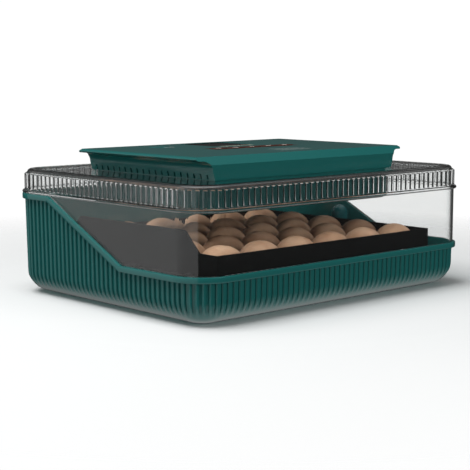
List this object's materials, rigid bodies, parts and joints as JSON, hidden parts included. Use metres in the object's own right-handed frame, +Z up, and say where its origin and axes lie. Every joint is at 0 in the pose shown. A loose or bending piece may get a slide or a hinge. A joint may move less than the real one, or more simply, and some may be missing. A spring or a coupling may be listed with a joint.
{
  "type": "egg incubator",
  "caption": "Tabletop egg incubator with a fluted tub, a clear lift-off lid carrying the control unit, and a roller tray that turns rows of eggs.",
  "frame": {"origin": "centre of the footprint on the surface it stands on", "axes": "+X along the length, +Y towards the back (high rim), +Z up"},
  "size_m": [0.454, 0.351, 0.1755],
  "materials": {
    "teal_plastic": "satin moulded",
    "dark_teal_plastic": "moulded",
    "black_rubber": "matt",
    "black_plastic": "fine texture",
    "acetal": "smooth",
    "motor_steel": "plated",
    "screw_steel": "plated",
    "translucent_teal": "translucent",
    "clear_plastic": "clear moulded",
    "black_gloss": "gloss",
    "smoked_window": "smoked",
    "display": "display panel",
    "light_pipe": "light pipe",
    "circuit_board": "solder mask",
    "heater_metal": "heat-tinted",
    "ceramic_clip": "unglazed",
    "probe_white": "smooth",
    "brass_pin": "plated",
    "button_rubber": "silicone",
    "eggshell": "eggshell"
  },
  "bodies": {
    "base": {"base_tub": "teal_plastic", "rubber_feet": "black_rubber", "water_tray": "dark_teal_plastic", "egg_tray": "black_plastic", "rack_guides": "black_plastic", "turn_motor": "motor_steel", "motor_bracket": "black_plastic", "bracket_screws": "screw_steel", "filler_port": "translucent_teal"},
    "rack": {"drive_rack": "acetal"},
    "pinion": {"motor_pinion": "acetal"},
    "plug": {"port_plug": "black_rubber"},
    "lid": {"lid": "clear_plastic", "unit_gasket": "black_rubber", "unit_upper_housing": "teal_plastic", "unit_lower_housing": "teal_plastic", "housing_screws": "screw_steel", "display_bezel": "black_gloss", "display_window": "smoked_window", "display_module": "display", "indicator_lights": "light_pipe", "control_board": "circuit_board", "board_screws": "screw_steel", "fan_screws": "screw_steel", "fan_motor": "motor_steel", "fan_bracket": "motor_steel", "fan_grille": "teal_plastic", "heater_ring": "heater_metal", "heater_clips": "ceramic_clip", "sensor_probe": "probe_white", "power_inlet": "black_plastic", "inlet_pins": "brass_pin"},
    "fan": {"fan_shaft": "screw_steel", "fan_blade": "black_plastic"},
    "knob": {"vent_knob": "teal_plastic"},
    "button_1": {"button_1": "button_rubber"},
    "button_2": {"button_2": "button_rubber"},
    "button_3": {"button_3": "button_rubber"},
    "button_4": {"button_4": "button_rubber"},
    "button_5": {"button_5": "button_rubber"},
    "roller_1": {"roller_1": "black_plastic"},
    "roller_2": {"roller_2": "black_plastic"},
    "roller_3": {"roller_3": "black_plastic"},
    "roller_4": {"roller_4": "black_plastic"},
    "roller_5": {"roller_5": "black_plastic"},
    "roller_6": {"roller_6": "black_plastic"},
    "roller_7": {"roller_7": "black_plastic"},
    "roller_8": {"roller_8": "black_plastic"},
    "roller_9": {"roller_9": "black_plastic"},
    "roller_10": {"roller_10": "black_plastic"},
    "egg_row_1": {"egg_row_1": "eggshell"},
    "egg_row_2": {"egg_row_2": "eggshell"},
    "egg_row_3": {"egg_row_3": "eggshell"},
    "egg_row_4": {"egg_row_4": "eggshell"},
    "egg_row_5": {"egg_row_5": "eggshell"}
  },
  "joints": [
    {"name": "lid_lift", "type": "slide", "parent": "base", "child": "lid", "axis": [0, 0, 1], "range_m": [0, 0.25]},
    {"name": "plug_pull", "type": "slide", "parent": "base", "child": "plug", "axis": [1, 0, 0], "range_m": [0, 0.03]},
    {"name": "rack_slide", "type": "slide", "parent": "base", "child": "rack", "axis": [0, 1, 0], "range_m": [-0.012, 0.012]},
    {"name": "pinion_spin", "type": "hinge", "parent": "base", "child": "pinion", "pos_m": [-0.181, 0.09045, 0.05764], "axis": [1, 0, 0], "range_deg": [-80, 80]},
    {"name": "fan_spin", "type": "hinge", "parent": "lid", "child": "fan", "pos_m": [0, 0, 0.1205], "axis": [0, 0, 1], "continuous": true},
    {"name": "vent_knob_turn", "type": "hinge", "parent": "lid", "child": "knob", "pos_m": [-0.078, 0.068, 0.175], "axis": [0, 0, 1], "range_deg": [0, 90]},
    {"name": "button_1_press", "type": "slide", "parent": "lid", "child": "button_1", "axis": [0, 0, -1], "range_m": [0, 0.0012], "stiffness_N_per_m": 400, "springref_m": -0.0005},
    {"name": "button_2_press", "type": "slide", "parent": "lid", "child": "button_2", "axis": [0, 0, -1], "range_m": [0, 0.0012], "stiffness_N_per_m": 400, "springref_m": -0.0005},
    {"name": "button_3_press", "type": "slide", "parent": "lid", "child": "button_3", "axis": [0, 0, -1], "range_m": [0, 0.0012], "stiffness_N_per_m": 400, "springref_m": -0.0005},
    {"name": "button_4_press", "type": "slide", "parent": "lid", "child": "button_4", "axis": [0, 0, -1], "range_m": [0, 0.0012], "stiffness_N_per_m": 400, "springref_m": -0.0005},
    {"name": "button_5_press", "type": "slide", "parent": "lid", "child": "button_5", "axis": [0, 0, -1], "range_m": [0, 0.0012], "stiffness_N_per_m": 400, "springref_m": -0.0005},
    {"name": "roller_1_spin", "type": "hinge", "parent": "base", "child": "roller_1", "pos_m": [0, -0.13567, 0.02964], "axis": [1, 0, 0], "range_deg": [-80, 80]},
    {"name": "roller_2_spin", "type": "hinge", "parent": "base", "child": "roller_2", "pos_m": [0, -0.10552, 0.02964], "axis": [1, 0, 0], "range_deg": [-80, 80]},
    {"name": "roller_3_spin", "type": "hinge", "parent": "base", "child": "roller_3", "pos_m": [0, -0.07537, 0.02964], "axis": [1, 0, 0], "range_deg": [-80, 80]},
    {"name": "roller_4_spin", "type": "hinge", "parent": "base", "child": "roller_4", "pos_m": [0, -0.04522, 0.02964], "axis": [1, 0, 0], "range_deg": [-80, 80]},
    {"name": "roller_5_spin", "type": "hinge", "parent": "base", "child": "roller_5", "pos_m": [0, -0.01507, 0.02964], "axis": [1, 0, 0], "range_deg": [-80, 80]},
    {"name": "roller_6_spin", "type": "hinge", "parent": "base", "child": "roller_6", "pos_m": [0, 0.01507, 0.02964], "axis": [1, 0, 0], "range_deg": [-80, 80]},
    {"name": "roller_7_spin", "type": "hinge", "parent": "base", "child": "roller_7", "pos_m": [0, 0.04522, 0.02964], "axis": [1, 0, 0], "range_deg": [-80, 80]},
    {"name": "roller_8_spin", "type": "hinge", "parent": "base", "child": "roller_8", "pos_m": [0, 0.07537, 0.02964], "axis": [1, 0, 0], "range_deg": [-80, 80]},
    {"name": "roller_9_spin", "type": "hinge", "parent": "base", "child": "roller_9", "pos_m": [0, 0.10552, 0.02964], "axis": [1, 0, 0], "range_deg": [-80, 80]},
    {"name": "roller_10_spin", "type": "hinge", "parent": "base", "child": "roller_10", "pos_m": [0, 0.13567, 0.02964], "axis": [1, 0, 0], "range_deg": [-80, 80]},
    {"name": "egg_row_1_roll", "type": "hinge", "parent": "base", "child": "egg_row_1", "pos_m": [0, -0.1206, 0.0565], "axis": [1, 0, 0], "range_deg": [-30, 30]},
    {"name": "egg_row_2_roll", "type": "hinge", "parent": "base", "child": "egg_row_2", "pos_m": [0, -0.0603, 0.0565], "axis": [1, 0, 0], "range_deg": [-30, 30]},
    {"name": "egg_row_3_roll", "type": "hinge", "parent": "base", "child": "egg_row_3", "pos_m": [0, 0, 0.0565], "axis": [1, 0, 0], "range_deg": [-30, 30]},
    {"name": "egg_row_4_roll", "type": "hinge", "parent": "base", "child": "egg_row_4", "pos_m": [0, 0.0603, 0.0565], "axis": [1, 0, 0], "range_deg": [-30, 30]},
    {"name": "egg_row_5_roll", "type": "hinge", "parent": "base", "child": "egg_row_5", "pos_m": [0, 0.1206, 0.0565], "axis": [1, 0, 0], "range_deg": [-30, 30]}
  ],
  "couplings": [
    {"joint": "pinion_spin", "follows": "rack_slide", "rad_per_m": 111.11},
    {"joint": "roller_1_spin", "follows": "rack_slide", "rad_per_m": -111.11},
    {"joint": "roller_2_spin", "follows": "rack_slide", "rad_per_m": -111.11},
    {"joint": "roller_3_spin", "follows": "rack_slide", "rad_per_m": -111.11},
    {"joint": "roller_4_spin", "follows": "rack_slide", "rad_per_m": -111.11},
    {"joint": "roller_5_spin", "follows": "rack_slide", "rad_per_m": -111.11},
    {"joint": "roller_6_spin", "follows": "rack_slide", "rad_per_m": -111.11},
    {"joint": "roller_7_spin", "follows": "rack_slide", "rad_per_m": -111.11},
    {"joint": "roller_8_spin", "follows": "rack_slide", "rad_per_m": -111.11},
    {"joint": "roller_9_spin", "follows": "rack_slide", "rad_per_m": -111.11},
    {"joint": "roller_10_spin", "follows": "rack_slide", "rad_per_m": -111.11},
    {"joint": "egg_row_1_roll", "follows": "rack_slide", "rad_per_m": 39.506},
    {"joint": "egg_row_2_roll", "follows": "rack_slide", "rad_per_m": 39.506},
    {"joint": "egg_row_3_roll", "follows": "rack_slide", "rad_per_m": 39.506},
    {"joint": "egg_row_4_roll", "follows": "rack_slide", "rad_per_m": 39.506},
    {"joint": "egg_row_5_roll", "follows": "rack_slide", "rad_per_m": 39.506}
  ]
}
